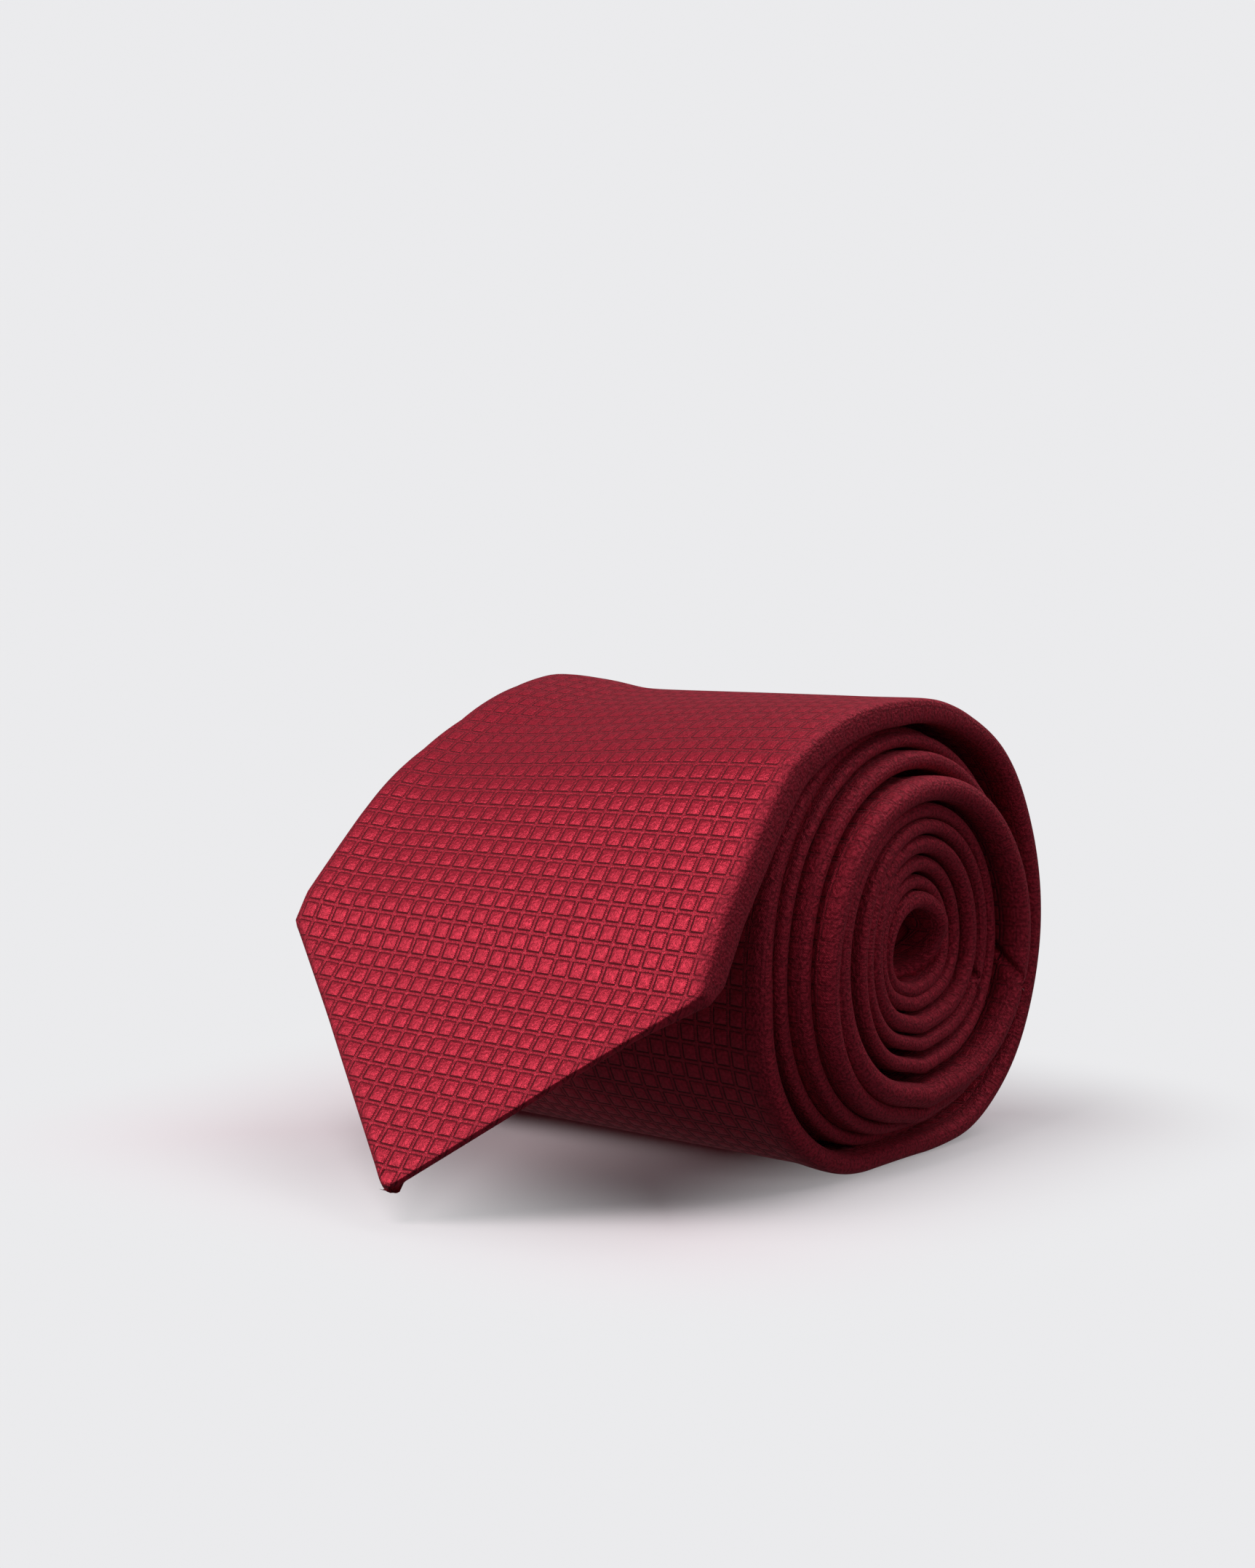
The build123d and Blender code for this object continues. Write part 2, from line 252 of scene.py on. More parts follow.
def smooth(values, samples):
    """A running mean, twice, over a table with one row per millimetre."""
    n = max(1, int(samples))
    kernel = np.ones(n) / n
    for _ in range(2):
        values = np.convolve(np.pad(values, n, mode="edge"), kernel, mode="same")[n:-n]
    return values


def turn_stations():
    """Rows of s, how far off the even spiral, how far out and how thick, from the TURNS and FREE_STATIONS."""
    stations = []
    turn = -1
    for s, angle in route.marks:
        if angle == 180 and stations:
            turn += 1
        row = TURNS[min(turn + 1, len(TURNS) - 1)]
        out_front, out_rear, thick = row[4:]
        column = {180: 0, 270: 1, 0: 2, 90: 3}[angle]
        out = {180: out_front, 270: (out_front + out_rear) / 2, 0: out_rear, 90: out_rear}[angle]
        if angle == 90 and turn + 2 < len(TURNS):
            out = (out_rear + TURNS[turn + 2][4]) / 2
        stations.append((s, row[column], out, thick))
    stations = [station for station in stations if station[0] > S_HINGE + 5]
    return np.array(sorted(stations + list(FREE_STATIONS)))


def turn_tables():
    """Tables along the strip, one row per millimetre: how far off the even spiral, how far out, how thick."""
    stations = turn_stations()
    grid = np.arange(0.0, LENGTH + 1.0, 1.0)
    columns = [np.interp(grid, stations[:, 0], stations[:, i]) for i in (1, 2, 3)]
    off, out, thick = [smooth(column, TURN_SAMPLES) for column in columns]
    feet = [s for s, angle in route.marks if angle == 270]
    for first, last in list(zip(feet[::2], feet[1::2]))[:-FLAT_FEET]:
        off += FOOT_ROUND * np.exp(-((grid - (first + last) / 2) / FOOT_SPREAD) ** 2)
    for back, swell, spread in OUTER_SWELLS:
        angle = np.interp(S_HINGE, route.s, route.angles) - math.radians(back)
        off += swell * np.exp(-((grid - np.interp(-angle, -route.angles, route.s)) / spread) ** 2)
    return grid, off, out, thick


GRID, OFF, OUT, EDGE_THICK = turn_tables()


def width(s):
    return read(WIDTH_ALONG, s)


def middle(s):
    """x of the strip's middle: every turn is aligned at +X, apart from how far it stands out."""
    return EDGE - width(s) / 2 + np.interp(s, GRID, OUT)


def lie(s, x):
    """How far the cloth stands off its path: the turns' places, and the swell of the free end and the top."""
    low = read(LIE_LOW, s)
    high = read(LIE_HIGH, s)
    lift = np.interp(s, GRID, OFF) + low + (high - low) * ramp(x, -EDGE - 6, EDGE + 2)
    top = ramp(s, S_HINGE - 30, S_HINGE - 4) * (1 - ramp(s, S_HINGE + 20, S_HINGE + 50))
    return lift + top * HUMP_HEIGHT * np.exp(-(((x - HUMP_X) / HUMP_SPREAD) ** 2))


def place(s, x, d):
    """Points of the strip, in metres: s from the blade's tip, x across, d outwards from the middle."""
    y, z, ny, nz = route.at(s)
    out = d + lie(s, x)
    return np.stack([x, ROLL_Y + y + ny * out, ROLL_Z + z + nz * out], -1) * MM


def edges_of(s):
    """x of the strip's two edges: the blade's pointed end is a little askew, and the tail's is even."""
    low = middle(s) - width(s) / 2 - FLARE * (1 - ramp(s, LOW_SHOULDER, S_HINGE))
    high = middle(s) + width(s) / 2
    from_tip = np.sqrt(np.maximum(s, 0) ** 2 + 1.2 * np.maximum(s, 0))
    low = np.maximum(low, TIP_X - (TIP_X + EDGE + FLARE) * from_tip / LOW_SHOULDER)
    high = np.minimum(high, TIP_X + (EDGE - TIP_X) * from_tip / HIGH_SHOULDER)
    centre = EDGE - TAIL_WIDTH / 2 + np.interp(s, GRID, OUT)
    to_end = LENGTH - s
    pointed = TAIL_WIDTH / 2 * np.sqrt(np.clip(to_end / TAIL_POINT, 0, 1))
    half = np.where(to_end > TAIL_POINT, np.inf, pointed)
    return np.maximum(low, centre - half), np.minimum(high, centre + half)


def gap_half(s):
    """Half the width of the openings behind the blade's and the tail's points, where the lining shows."""
    return read(BLADE_GAP, s) + read(TAIL_POINT_GAP, s)


# ---- meshes ----
def grid_faces(rows, columns):
    i = np.arange(rows - 1)[:, None] * columns + np.arange(columns - 1)[None, :]
    i = i.ravel()
    return np.stack([i, i + 1, i + columns + 1, i + columns], -1).tolist()


def mesh_object(name, points, faces, material, uv=None):
    mesh = bpy.data.meshes.new(name)
    mesh.from_pydata(np.array(points).reshape(-1, 3).tolist(), [], faces)
    if uv is not None:
        layer = mesh.uv_layers.new(name="cloth")
        corners = np.zeros(len(mesh.loops), int)
        mesh.loops.foreach_get("vertex_index", corners)
        layer.data.foreach_set("uv", np.array(uv).reshape(-1, 2)[corners].astype(np.float32).ravel())
    mesh.polygons.foreach_set("use_smooth", np.ones(len(mesh.polygons), bool))
    mesh.materials.append(material)
    mesh.update()
    obj = bpy.data.objects.new(name, mesh)
    bpy.context.collection.objects.link(obj)
    return obj


# ---- the folded shell ----
FRONT_POINTS, CAP_POINTS, BACK_POINTS = 56, 11, 24  # on a section's front, round a fold, on a back panel
HEM = ((-0.22, 0.1), (-0.1, 0.3), (1.4, 0.36))  # past a back panel's end, turned in: (x, d)
LEFT_LAP, RIGHT_LAP = 5.0, 1.0  # how far past the middle each back panel reaches
FOLD_ZONE = 11.0  # how far from a fold the strip begins to thicken
CAP = 0.62  # depth of a fold's round end, as a share of its thickness
FREE_CAP = 0.35  # the same at the free end's +X fold, which is a flatter wall
ROUNDNESS, FREE_ROUNDNESS = 2.2, 3.5  # power of the fold's superellipse: 2 is an ellipse


def bulge(turn, roundness):
    """A fold's profile, from +90 degrees at its front to -90 at its back: how far out and up, both to 1."""
    a = np.radians(turn)
    power = 2 / roundness
    return np.abs(np.cos(a)) ** power, np.sign(np.sin(a)) * np.abs(np.sin(a)) ** power


def thinning(s):
    """1 along the strip, and down to 0 at its two tips."""
    at_blade = math.sqrt(max(0.0, 1 - max(0.0, 1 - s / 2.0) ** 2))
    at_tail = math.sqrt(min(1.0, max(0.0, (LENGTH - s) / 4.0)))
    return at_blade * at_tail


class Section:
    """A cross-section of the folded shell at s: x runs across the strip, and d outwards from its middle."""

    def __init__(self, s):
        self.s = s
        self.low, self.high = (float(edge) for edge in edges_of(s))
        self.half = (self.high - self.low) / 2
        self.centre = (self.high + self.low) / 2
        self.free = 1 - float(ramp(s, S_HINGE - 5, S_HINGE + 25))
        self.low_thick = float(np.interp(s, GRID, EDGE_THICK)) * thinning(s)
        free_thick = float(read(FREE_FOLD, s)) * thinning(s)
        self.high_thick = self.free * free_thick + (1 - self.free) * self.low_thick
        self.low_cap = min(CAP * self.low_thick, 0.5 * self.half)
        self.high_cap = min((CAP - (CAP - FREE_CAP) * self.free) * self.high_thick, 0.5 * self.half)
        self.low_zone = min(FOLD_ZONE, 0.7 * self.half)
        high_zone = float(np.interp(self.high_thick, (1.5, 4.0), (3.2, FOLD_ZONE)))
        self.high_zone = min(high_zone, 0.7 * self.half)
        self.flat = min(THICK - 0.15, self.low_thick)

    def thick(self, x):
        at_high = x > self.centre
        edge = np.where(at_high, self.high_thick, self.low_thick)
        cap = np.where(at_high, self.high_cap, self.low_cap)
        zone = np.where(at_high, self.high_zone, self.low_zone)
        return self.flat + (edge - self.flat) * ramp(np.abs(x - self.centre) - self.half, -zone, -cap)

    def sunk(self, x):
        """The free end's thick +X fold swells to the back alone, so its middle sinks."""
        return np.where(x > self.centre, self.free * (self.flat - self.thick(x)) / 2, 0)

    def front_of(self, x):
        return self.sunk(x) + self.thick(x) / 2

    def back_of(self, x):
        return self.sunk(x) - self.thick(x) / 2

    def closed(self):
        """1 where the back panels are sewn over each other, and 0 where they part."""
        past_blade = ramp(self.s, BLADE_OPENING + 1, 80.0)
        return float(past_blade * (1 - ramp(self.s, TAIL_OPENING - 12, TAIL_OPENING)))

    def panel_ends(self):
        gap = float(gap_half(self.s))
        left = self.centre - gap + LEFT_LAP * self.closed()
        right = self.centre + gap - RIGHT_LAP * self.closed()
        left = min(max(left, self.low + self.low_cap), self.centre + 0.25 * self.half)
        right = max(min(right, self.high - self.high_cap), self.centre - 0.25 * self.half)
        return left, right

    def outline(self):
        """The section's x and d, from one hem along the back, round the front and back to the other hem."""
        left, right = self.panel_ends()
        low, high = self.low + self.low_cap, self.high - self.high_cap
        turn = np.linspace(-90, 90, CAP_POINTS + 2)[1:-1]
        low_out, low_up = bulge(turn, ROUNDNESS)
        high_out, high_up = bulge(-turn, ROUNDNESS + (FREE_ROUNDNESS - ROUNDNESS) * self.free)
        across = self.high - self.low - self.low_cap - self.high_cap
        front_x = low + across * np.linspace(0, 1, FRONT_POINTS)
        left_x = np.linspace(left, low, BACK_POINTS)
        right_x = np.linspace(high, right, BACK_POINTS)
        left_d = self.back_of(left_x)
        lap = SHELL * ramp(-right_x, -right - 9.0, -right - 4.0) * (0.3 + 0.7 * self.closed())
        right_d = self.back_of(right_x) - lap
        hem_x, hem_d = np.array(HEM).T
        parts = (
            (left - hem_x[::-1], left_d[0] + hem_d[::-1]),
            (left_x, left_d),
            (low - self.low_cap * low_out, self.low_thick / 2 * low_up),
            (front_x, self.front_of(front_x)),
            (high + self.high_cap * high_out, self.high_thick / 2 * high_up + self.sunk(high)),
            (right_x, right_d),
            (right + hem_x, right_d[-1] + hem_d),
        )
        x, d = zip(*parts)
        return np.concatenate(x), np.concatenate(d)

    def cloth_u(self, x, d):
        """Each point's distance round the cloth from the front's middle."""
        along = np.concatenate([[0], np.cumsum(np.hypot(np.diff(x), np.diff(d)))])
        first = len(HEM) + BACK_POINTS + CAP_POINTS
        front_part = slice(first, first + FRONT_POINTS)
        at_centre = np.interp(self.centre, x[front_part], along[front_part])
        return along - at_centre + self.centre - float(middle(self.s))

    def fold_share(self, x):
        """How near each point is to a fold, from 0 to 1. The free end's wall at +X counts in full."""
        near = ramp(np.abs(x - self.centre), self.half - 0.45 * self.low_zone, self.half - 0.4 * self.low_cap)
        near = near * (0.35 + 0.65 * float(ramp(self.s, 60, 140)))
        # the free end's +X wall takes the folds' plainer weave and painted shade in full
        wall = (x > self.high - self.high_cap) * self.free * float(ramp(self.s, 30, 40))
        return np.maximum(near, wall)


SEAM_SLOPE = 0.7  # how far a seam runs along the strip for each millimetre across it
SEAM_REACH = 70.0  # length of strip over which the rows of points turn to a seam's slant
SEAM_DEPTH, SEAM_SPREAD = 0.95, 0.9  # of the groove at a seam
SEAM_BELOW = 8.0  # along the strip from a turn's rearmost place to where its seam shows
BESIDE_SEAM = np.array([0.0, 0.3, 0.6, 0.9, 1.3, 1.7, 2.2, 2.9])  # closer rows on both sides of a seam
AT_TIP = np.array([0.0, 0.12, 0.35, 0.7, 1.2, 1.8, 2.5])  # closer rows at the blade's tip
ROWS_FROM_SEAM = 4.0  # where the even rows begin


def seam_middle(turn):
    """Where the middle of a slanting seam lies, so that it crosses the fold at +X at the rear of a turn."""
    rears = sorted((s for s, angle in route.marks if angle == 0), reverse=True)
    return rears[turn + 1] + SEAM_SLOPE * width(rears[turn + 1]) / 2 + SEAM_BELOW


BLADE_SEAM = seam_middle(5)
NECK_SEAM = seam_middle(3)


def shell_piece(name, rows, seams):
    """A length of the folded shell. Its rows of points lean along the strip, to end on the slanting seams."""
    points, coords, folds = [], [], []
    for s in rows:
        part = Section(s)
        x, d = part.outline()
        u = part.cloth_u(x, d)
        folds.append(part.fold_share(x))
        lean = sum(1 - ramp(abs(s - seam), 0, SEAM_REACH) for seam in seams)
        at = s - SEAM_SLOPE * u * lean
        x = middle(at) + (x - middle(s)) * width(at) / width(s)
        near = min(abs(s - seam) for seam in seams)
        d = d - np.sign(d) * SEAM_DEPTH * math.exp(-((near / SEAM_SPREAD) ** 2))
        points.append(place(at, x, d))
        coords.append(np.stack([u / CELL, at / CELL], -1))
    obj = mesh_object(name, points, grid_faces(len(rows), len(points[0])), SHELL_CLOTH, coords)
    layer = obj.data.attributes.new("fold", "FLOAT", "POINT")
    layer.data.foreach_set("value", np.array(folds).astype(np.float32).ravel())
    return obj


# ---- materials ----
class Nodes:
    """Builds a node tree with short calls: math, mix and so on return output sockets."""

    def __init__(self, name):
        self.material = bpy.data.materials.new(name)
        self.material.use_nodes = True
        self.tree = self.material.node_tree
        self.shader = next(n for n in self.tree.nodes if n.type == "BSDF_PRINCIPLED")

    def add(self, kind, *inputs, **settings):
        node = self.tree.nodes.new(kind)
        for key, value in settings.items():
            setattr(node, key, value)
        for socket, value in zip(node.inputs, inputs):
            self.put(socket, value)
        return node

    def put(self, socket, value):
        if isinstance(value, bpy.types.NodeSocket):
            self.tree.links.new(value, socket)
        else:
            socket.default_value = value

    def cloth(self):
        """The cloth's own coordinates, in squares of the weave: the vector, across and along."""
        uv = self.add("ShaderNodeUVMap", uv_map="cloth").outputs[0]
        parts = self.add("ShaderNodeSeparateXYZ", uv)
        return uv, parts.outputs[0], parts.outputs[1]

    def math(self, operation, *inputs):
        return self.add("ShaderNodeMath", *inputs, operation=operation).outputs[0]

    def wave(self, value, count):
        """A sine with count waves to one square of the weave."""
        return self.math("SINE", self.math("MULTIPLY", value, 2 * math.pi * count))

    def ramp(self, value, stops):
        node = self.add("ShaderNodeValToRGB", value)
        while len(node.color_ramp.elements) < len(stops):
            node.color_ramp.elements.new(0.5)
        for element, (at, colour) in zip(node.color_ramp.elements, stops):
            element.position = at
            element.color = (*colour, 1.0) if hasattr(colour, "__len__") else (colour, colour, colour, 1.0)
        return node.outputs[0]

    def mix(self, factor, a, b, blend="MIX"):
        node = self.tree.nodes.new("ShaderNodeMix")
        node.data_type = "RGBA"
        node.blend_type = blend
        self.put(node.inputs[0], factor)
        self.put(node.inputs[6], a if isinstance(a, bpy.types.NodeSocket) else (*a, 1.0))
        self.put(node.inputs[7], b if isinstance(b, bpy.types.NodeSocket) else (*b, 1.0))
        return node.outputs[2]

    def darker(self, factor, colour, tint):
        return self.mix(factor, colour, self.mix(1.0, colour, tint, "MULTIPLY"))

    def noise(self, vector, scale, detail):
        node = self.add("ShaderNodeTexNoise")
        self.put(node.inputs["Vector"], vector)
        node.inputs["Scale"].default_value = scale
        node.inputs["Detail"].default_value = detail
        return node.outputs[0]

    def box_distance(self, x, y, half_x, half_y, corner):
        """The distance to a rounded box, under 0 inside it. x and y are measured from its middle."""
        qx = self.math("SUBTRACT", x, half_x - corner)
        qy = self.math("SUBTRACT", y, half_y - corner)
        squares = [self.math("POWER", self.math("MAXIMUM", q, 0.0), 2.0) for q in (qx, qy)]
        outer = self.math("SQRT", self.math("ADD", *squares))
        inner = self.math("MINIMUM", self.math("MAXIMUM", qx, qy), 0.0)
        return self.math("SUBTRACT", self.math("ADD", outer, inner), corner)

    def bump(self, height, strength, distance):
        node = self.add("ShaderNodeBump")
        node.inputs["Strength"].default_value = strength
        node.inputs["Distance"].default_value = distance
        self.put(node.inputs["Height"], height)
        return node.outputs[0]

    def surface(self, colour, rough, normal):
        self.put(self.shader.inputs["Base Color"], colour)
        self.put(self.shader.inputs["Roughness"], rough)
        self.put(self.shader.inputs["Normal"], normal)

    def specular(self, level, tint):
        self.shader.inputs["Specular IOR Level"].default_value = level
        self.shader.inputs["Specular Tint"].default_value = (*tint, 1.0)

    def sheen(self, weight, roughness, tint):
        self.shader.inputs["Sheen Weight"].default_value = weight
        self.shader.inputs["Sheen Roughness"].default_value = roughness
        self.shader.inputs["Sheen Tint"].default_value = (*tint, 1.0)


CRIMSON_GLOSS = (1.0, 0.35, 0.42)
TILE_HALF = 0.395  # half of a raised tile, of one square of the weave
TILE_CORNER = 0.07
TEETH, TOOTH = 10, 0.018  # dots to a square along a tile's outline, and how far they reach
THREADS = 9  # diagonal threads to a square
KNOT_FROM = 0.445  # from a square's middle to the small light knot at its corner
TILE = (0.500, 0.0240, 0.050)
BAND = (0.430, 0.0195, 0.042)
GROOVE = (0.105, 0.0030, 0.0080)
# a plainer, darker colour on the folds: plainer as the real folded edges hide the weave's squares, darker as
# painted shade where the folds face away from the light
FOLD_PLAIN_AND_SHADE = (0.310, 0.0190, 0.038)
KNOT = (0.40, 0.030, 0.050)


def jacquard():
    """The shell cloth: raised satin tiles in dotted dark grooves, with lighter bands and knots between."""
    n = Nodes("crimson_jacquard")
    uv, u, v = n.cloth()
    fold = n.add("ShaderNodeAttribute", attribute_name="fold").outputs["Fac"]
    across = n.math("ABSOLUTE", n.math("SUBTRACT", n.math("FRACT", u), 0.5))
    along = n.math("ABSOLUTE", n.math("SUBTRACT", n.math("FRACT", v), 0.5))
    edge = n.box_distance(across, along, TILE_HALF, TILE_HALF, TILE_CORNER)
    teeth = n.math("MULTIPLY", n.math("ADD", n.wave(u, TEETH), n.wave(v, TEETH)), TOOTH)
    level = n.math("ADD", n.math("MULTIPLY", n.math("ADD", edge, teeth), 2.5), 0.5)  # 0.5 in the groove

    stops = [(0.0, TILE), (0.37, TILE), (0.44, GROOVE), (0.56, GROOVE), (0.63, BAND), (1.0, BAND)]
    colour = n.ramp(level, stops)
    knot = n.math("MULTIPLY", *[n.math("GREATER_THAN", q, KNOT_FROM) for q in (across, along)])
    colour = n.mix(knot, colour, KNOT)
    # the folds take the plainer, darker colour: partly the real plainer weave at a fold, partly painted shade
    colour = n.mix(n.math("MULTIPLY", fold, 0.7), colour, FOLD_PLAIN_AND_SHADE)
    wear = n.noise(uv, 0.55, 3.0)
    colour = n.darker(n.math("MULTIPLY", wear, 0.25), colour, (0.5, 0.5, 0.5))
    grain = n.noise(uv, 6.0, 3.0)
    crepe = n.math("SUBTRACT", n.ramp(grain, [(0.38, 0.0), (0.62, 1.0)]), 0.5)
    crepe = n.math("MULTIPLY", crepe, n.math("ADD", 0.7, n.math("MULTIPLY", fold, 0.7)))
    colour = n.darker(n.math("ADD", 0.3, crepe), colour, (0.5, 0.45, 0.45))

    domes = []
    for q in (across, along):
        from_top = n.math("POWER", n.math("DIVIDE", q, TILE_HALF), 2.0)
        domes.append(n.math("MAXIMUM", n.math("SUBTRACT", 1.0, from_top), 0.0))
    puff = n.math("MULTIPLY", n.math("POWER", n.math("MULTIPLY", *domes), 0.7), 0.75)
    valley = n.ramp(level, [(0.0, 0.5), (0.38, 0.5), (0.50, 0.0), (0.62, 0.35), (1.0, 0.6)])
    flatter = n.math("SUBTRACT", 1.0, n.math("MULTIPLY", fold, 0.75))
    relief = n.math("MULTIPLY", n.math("ADD", puff, valley), flatter)
    relief = n.math("ADD", relief, n.math("MULTIPLY", n.wave(n.math("ADD", u, v), THREADS), 0.04))
    relief = n.math("ADD", relief, n.math("MULTIPLY", crepe, 0.28))

    rough = n.ramp(level, [(0.0, 0.42), (0.36, 0.44), (0.50, 0.8), (0.66, 0.44), (1.0, 0.42)])
    rough = n.math("ADD", rough, n.math("MULTIPLY", fold, 0.15))
    metal = n.ramp(level, [(0.0, 0.5), (0.36, 0.5), (0.46, 0.1), (0.56, 0.1), (0.66, 0.5), (1.0, 0.5)])
    n.surface(colour, rough, n.bump(relief, 0.9, 0.00032))
    n.put(n.shader.inputs["Metallic"], metal)
    n.specular(0.4, CRIMSON_GLOSS)
    n.sheen(0.12, 0.4, (1.0, 0.22, 0.28))
    return n.material


def lining_cloth():
    n = Nodes("crimson_lining")
    uv, u, v = n.cloth()
    rib = n.wave(n.math("ADD", u, v), 6)
    blotch = n.noise(uv, 0.8, 3.0)
    colour = n.mix(blotch, (0.25, 0.011, 0.025), (0.31, 0.015, 0.034))
    n.surface(colour, n.ramp(blotch, [(0.0, 0.34), (1.0, 0.46)]), n.bump(rib, 0.25, 0.0001))
    n.specular(0.3, CRIMSON_GLOSS)
    n.sheen(0.05, 0.4, (1.0, 0.3, 0.35))
    return n.material


def wool_cloth():
    n = Nodes("brushed_wool")
    at = n.add("ShaderNodeTexCoord").outputs["Object"]
    fuzz = n.noise(at, 2500.0, 4.0)
    colour = n.mix(fuzz, (0.55, 0.50, 0.43), (0.78, 0.74, 0.67))
    n.surface(colour, n.ramp(fuzz, [(0.0, 0.85), (1.0, 1.0)]), n.bump(fuzz, 0.5, 0.0002))
    n.sheen(0.4, 0.5, (1.0, 0.95, 0.9))
    return n.material


def thread_material():
    n = Nodes("crimson_thread")
    at = n.add("ShaderNodeTexCoord").outputs["Object"]
    ply = n.noise(at, 4000.0, 2.0)
    colour = n.mix(ply, (0.12, 0.005, 0.012), (0.26, 0.018, 0.034))
    n.surface(colour, n.ramp(ply, [(0.0, 0.4), (1.0, 0.6)]), n.bump(ply, 0.3, 0.0001))
    return n.material


SHELL_CLOTH = jacquard()
LINING = lining_cloth()
WOOL = wool_cloth()
THREAD = thread_material()


def bend_at_hinge(obj):
    """Bakes obj's transform into its mesh."""
    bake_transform(obj)


def declare(obj, slot, *nodes, body=None):
    if body:
        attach(obj, body)
    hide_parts(*nodes)


def make_blade():
    rows = np.concatenate([
        AT_TIP,
        steps(3.3, 170.0, 1.0),
        steps(171.2, BLADE_SEAM - ROWS_FROM_SEAM, 1.25),
        BLADE_SEAM - BESIDE_SEAM[::-1],
    ])
    obj = shell_piece("blade_cloth", rows, [BLADE_SEAM])
    bend_at_hinge(obj)
    declare(obj, "shell", "blade_end_shell", "blade_shell")


def make_neck():
    rows = np.concatenate([
        BLADE_SEAM + BESIDE_SEAM,
        steps(BLADE_SEAM + ROWS_FROM_SEAM, NECK_SEAM - ROWS_FROM_SEAM, 1.25),
        NECK_SEAM - BESIDE_SEAM[::-1],
    ])
    obj = shell_piece("neck_cloth", rows, [BLADE_SEAM, NECK_SEAM])
    declare(obj, "shell", "neck_shell", body="roll")


def make_tail():
    rows = np.concatenate([
        NECK_SEAM + BESIDE_SEAM,
        steps(NECK_SEAM + ROWS_FROM_SEAM, LENGTH - 4.0, 1.1),
        LENGTH - np.array([3.2, 2.5, 1.8, 1.2, 0.7, 0.35, 0.12, 0.01]),
    ])
    obj = shell_piece("tail_cloth", rows, [NECK_SEAM])
    declare(obj, "shell", "tail_shell", body="roll")


LINING_D = BACK + 0.3  # the linings lie just inside the strip's back


def lining_piece(name, rows, centre, half, columns):
    """An open sheet that follows the strip, half(s) wide on each side of centre(s)."""
    points, coords = [], []
    for s in rows:
        x = np.linspace(centre(s) - half(s), centre(s) + half(s), columns)
        points.append(place(np.full_like(x, s), x, LINING_D))
        coords.append(np.stack([x / CELL, np.full_like(x, s / CELL)], -1))
    return mesh_object(name, points, grid_faces(len(rows), columns), LINING, coords)


def make_blade_lining():
    def half(s):
        inside_fold = 0.96 * EDGE * s / POINT - 1.6
        return max(1.0, min(float(gap_half(s)) + 4.0, inside_fold))

    obj = lining_piece("blade_lining_cloth", steps(5.0, 66.0, 1.0), lambda s: 0.0, half, 40)
    declare(obj, "lining", "blade_tipping", body="blade_end")


def make_tail_lining():
    def half(s):
        low, high = edges_of(s)
        return max(0.4, min(float(gap_half(s)) + 3.0, float(high - low) / 2 - 1.2))

    def centre(s):
        low, high = edges_of(s)
        return float(low + high) / 2

    obj = lining_piece("tail_lining_cloth", steps(TAIL_OPENING - 3.0, LENGTH - 2.2, 0.8), centre, half, 24)
    declare(obj, "lining", "tail_tipping", body="roll")


THREAD_SIDES, THREAD_RINGS = 6, 5


def thread_points(line, radius):
    """Rings of points round a line of places, narrower at both ends."""
    along = line[-1] - line[0]
    along /= np.linalg.norm(along)
    side = np.cross(along, [0.31, 0.57, 0.76])
    side /= np.linalg.norm(side)
    other = np.cross(along, side)
    points = []
    for ring in range(THREAD_RINGS):
        r = radius * MM * (0.55 if ring in (0, THREAD_RINGS - 1) else 1.0)
        for k in range(THREAD_SIDES):
            a = 2 * math.pi * k / THREAD_SIDES
            points.append(line[ring] + r * (side * math.cos(a) + other * math.sin(a)))
    return points


def thread_faces(first):
    faces = []
    for ring in range(THREAD_RINGS - 1):
        for k in range(THREAD_SIDES):
            a = first + ring * THREAD_SIDES + k
            b = first + ring * THREAD_SIDES + (k + 1) % THREAD_SIDES
            faces.append([a, b, b + THREAD_SIDES, a + THREAD_SIDES])
    last = first + (THREAD_RINGS - 1) * THREAD_SIDES
    faces.append([first + k for k in range(THREAD_SIDES)][::-1])
    faces.append([last + k for k in range(THREAD_SIDES)])
    return faces


def stitches(name, ends, radius):
    """Short arched tubes with closed ends: ends lists two places (s, x, d) and the arch's height for each."""
    points, faces = [], []
    t = np.linspace(0, 1, THREAD_RINGS)[:, None]
    for start, end, arch in ends:
        line = np.array(start) + (np.array(end) - np.array(start)) * t
        line = place(line[:, 0], line[:, 1], line[:, 2] - arch * np.sin(np.pi * t[:, 0]))
        faces += thread_faces(len(points))
        points += thread_points(line, radius)
    return mesh_object(name, points, faces, THREAD)


def make_lining_stitches():
    ends = []
    for side in (-1, 1):
        for s in steps(9.0, 59.0, 1.6):
            x = side * float(gap_half(s))
            inwards = side * 0.8
            ends.append(((s, x + inwards, BACK - 0.30), (s + 0.9, x - inwards * 0.5, BACK + 0.35), 0.12))
    obj = stitches("blade_lining_stitches", ends, 0.13)
    declare(obj, "thread", "blade_tipping_seam", body="blade_end")


TACK_WIDE, TACK_LONG = 5.0, 1.4


def make_tack(name, node, s, body):
    """A bar tack: close threads across the place where the back panels meet."""
    x, d = float(middle(s)), BACK - 0.35
    ends = []
    for row in steps(s, s + TACK_LONG, 0.17):
        ends.append(((row, x - TACK_WIDE / 2, d), (row + 0.12, x + TACK_WIDE / 2, d), 0.15))
    declare(stitches(name, ends, 0.12), "thread", node, body=body)


def make_slip_stitch():
    ends = []
    for s in steps(70.0, TAIL_OPENING - 8.0, 7.0):
        x = float(middle(s)) - RIGHT_LAP
        ends.append(((s, x + 0.9, BACK - 0.62), (s + 2.2, x - 0.9, BACK - 0.12), 0.10))
    obj = stitches("slip_stitches", ends, 0.14)
    bend_at_hinge(obj)
    declare(obj, "thread", "slip_stitch", "blade_end_slip_stitch")


